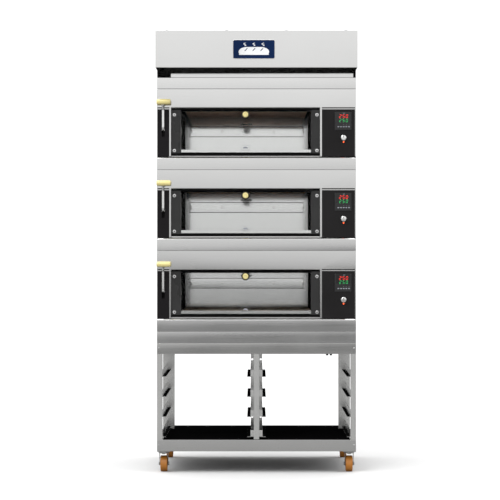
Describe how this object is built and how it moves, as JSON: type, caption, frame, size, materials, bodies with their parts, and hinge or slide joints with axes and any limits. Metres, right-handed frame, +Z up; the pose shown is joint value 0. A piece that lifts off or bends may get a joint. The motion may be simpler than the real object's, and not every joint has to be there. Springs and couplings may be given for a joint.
{
  "type": "deck oven",
  "caption": "Free-standing stainless deck oven: stacked baking chambers with glass drop-down doors, steam levers and controllers, a canopy hood above, and a wheeled tray stand below.",
  "frame": {"origin": "on the floor under the centre of the bounding box", "axes": "+Z up, +X to the right as seen from the front, +Y from the front to the back"},
  "size_m": [0.93, 0.966, 2.102],
  "materials": {
    "galvanised": "satin",
    "stainless": "satin",
    "badge": "gloss",
    "fastener": "satin",
    "oven_steel": "satin",
    "black_panel": "satin",
    "black_plastic": "matte",
    "hearth_stone": "matte",
    "ceiling_stone": "matte",
    "element": "matte",
    "wool": "matte",
    "door_glass": "gloss",
    "door_black": "satin",
    "knob": "gloss",
    "rod_steel": "gloss",
    "stand_steel": "satin",
    "shelf": "gloss",
    "zinc": "satin",
    "caster_tyre": "satin"
  },
  "bodies": {
    "oven": {"flue_spigot": "galvanised", "hood_canopy": "stainless", "top_cover": "stainless", "hood_riser": "stainless", "rear_covers": "stainless", "lower_casing": "stainless", "middle_casing": "stainless", "upper_casing": "stainless", "lower_front_frame": "stainless", "middle_front_frame": "stainless", "upper_front_frame": "stainless", "badge_plate": "badge", "frame_bolts": "fastener", "lower_chamber": "oven_steel", "middle_chamber": "oven_steel", "upper_chamber": "oven_steel", "temperature_probes": "oven_steel", "control_panels": "black_panel", "lever_panels": "black_panel", "control_modules": "black_plastic", "cable_glands": "black_plastic", "hearth_slabs": "hearth_stone", "ceiling_slabs": "ceiling_stone", "heating_elements": "element", "insulation": "wool", "base_plinth": "stand_steel", "stand_cross_rails": "stand_steel", "stand_side_rails": "stand_steel", "stand_top_bars": "stand_steel", "stand_posts": "stand_steel", "tray_runners": "stand_steel", "stand_shelf": "shelf", "caster_plates": "zinc"},
    "lower_door": {"lower_door_glass": "door_glass", "lower_door_frame": "door_black", "lower_door_knob": "knob"},
    "lower_lever": {"lower_steam_lever": "rod_steel", "lower_lever_grip": "knob"},
    "lower_switch": {"lower_switch_knob": "rod_steel"},
    "middle_door": {"middle_door_glass": "door_glass", "middle_door_frame": "door_black", "middle_door_knob": "knob"},
    "middle_lever": {"middle_steam_lever": "rod_steel", "middle_lever_grip": "knob"},
    "middle_switch": {"middle_switch_knob": "rod_steel"},
    "upper_door": {"upper_door_glass": "door_glass", "upper_door_frame": "door_black", "upper_door_knob": "knob"},
    "upper_lever": {"upper_steam_lever": "rod_steel", "upper_lever_grip": "knob"},
    "upper_switch": {"upper_switch_knob": "rod_steel"},
    "swivel_front_left": {"caster_fork_front_left": "zinc"},
    "wheel_front_left": {"caster_wheel_front_left": "caster_tyre"},
    "swivel_front_right": {"caster_fork_front_right": "zinc"},
    "wheel_front_right": {"caster_wheel_front_right": "caster_tyre"},
    "swivel_rear_left": {"caster_fork_rear_left": "zinc"},
    "wheel_rear_left": {"caster_wheel_rear_left": "caster_tyre"},
    "swivel_rear_right": {"caster_fork_rear_right": "zinc"},
    "wheel_rear_right": {"caster_wheel_rear_right": "caster_tyre"}
  },
  "joints": [
    {"name": "lower_door_hinge", "type": "hinge", "parent": "oven", "child": "lower_door", "pos_m": [0, -0.3, 0.733], "axis": [1, 0, 0], "range_deg": [0, 90]},
    {"name": "lower_lever_pivot", "type": "hinge", "parent": "oven", "child": "lower_lever", "pos_m": [-0.436, -0.302, 0.847], "axis": [1, 0, 0], "range_deg": [0, 80]},
    {"name": "lower_switch_turn", "type": "hinge", "parent": "oven", "child": "lower_switch", "pos_m": [0.407, -0.316, 0.809], "axis": [0, 1, 0], "range_deg": [0, 90]},
    {"name": "middle_door_hinge", "type": "hinge", "parent": "oven", "child": "middle_door", "pos_m": [0, -0.3, 1.111], "axis": [1, 0, 0], "range_deg": [0, 90]},
    {"name": "middle_lever_pivot", "type": "hinge", "parent": "oven", "child": "middle_lever", "pos_m": [-0.436, -0.302, 1.225], "axis": [1, 0, 0], "range_deg": [0, 80]},
    {"name": "middle_switch_turn", "type": "hinge", "parent": "oven", "child": "middle_switch", "pos_m": [0.407, -0.316, 1.187], "axis": [0, 1, 0], "range_deg": [0, 90]},
    {"name": "upper_door_hinge", "type": "hinge", "parent": "oven", "child": "upper_door", "pos_m": [0, -0.3, 1.489], "axis": [1, 0, 0], "range_deg": [0, 90]},
    {"name": "upper_lever_pivot", "type": "hinge", "parent": "oven", "child": "upper_lever", "pos_m": [-0.436, -0.302, 1.603], "axis": [1, 0, 0], "range_deg": [0, 80]},
    {"name": "upper_switch_turn", "type": "hinge", "parent": "oven", "child": "upper_switch", "pos_m": [0.407, -0.316, 1.565], "axis": [0, 1, 0], "range_deg": [0, 90]},
    {"name": "swivel_turn_front_left", "type": "hinge", "parent": "oven", "child": "swivel_front_left", "pos_m": [-0.435, -0.275, 0.09], "axis": [0, 0, 1], "continuous": true},
    {"name": "wheel_spin_front_left", "type": "hinge", "parent": "swivel_front_left", "child": "wheel_front_left", "pos_m": [-0.435, -0.25, 0.0375], "axis": [1, 0, 0], "continuous": true},
    {"name": "swivel_turn_front_right", "type": "hinge", "parent": "oven", "child": "swivel_front_right", "pos_m": [0.435, -0.275, 0.09], "axis": [0, 0, 1], "continuous": true},
    {"name": "wheel_spin_front_right", "type": "hinge", "parent": "swivel_front_right", "child": "wheel_front_right", "pos_m": [0.435, -0.25, 0.0375], "axis": [1, 0, 0], "continuous": true},
    {"name": "swivel_turn_rear_left", "type": "hinge", "parent": "oven", "child": "swivel_rear_left", "pos_m": [-0.435, 0.41, 0.09], "axis": [0, 0, 1], "continuous": true},
    {"name": "wheel_spin_rear_left", "type": "hinge", "parent": "swivel_rear_left", "child": "wheel_rear_left", "pos_m": [-0.435, 0.435, 0.0375], "axis": [1, 0, 0], "continuous": true},
    {"name": "swivel_turn_rear_right", "type": "hinge", "parent": "oven", "child": "swivel_rear_right", "pos_m": [0.435, 0.41, 0.09], "axis": [0, 0, 1], "continuous": true},
    {"name": "wheel_spin_rear_right", "type": "hinge", "parent": "swivel_rear_right", "child": "wheel_rear_right", "pos_m": [0.435, 0.435, 0.0375], "axis": [1, 0, 0], "continuous": true}
  ]
}
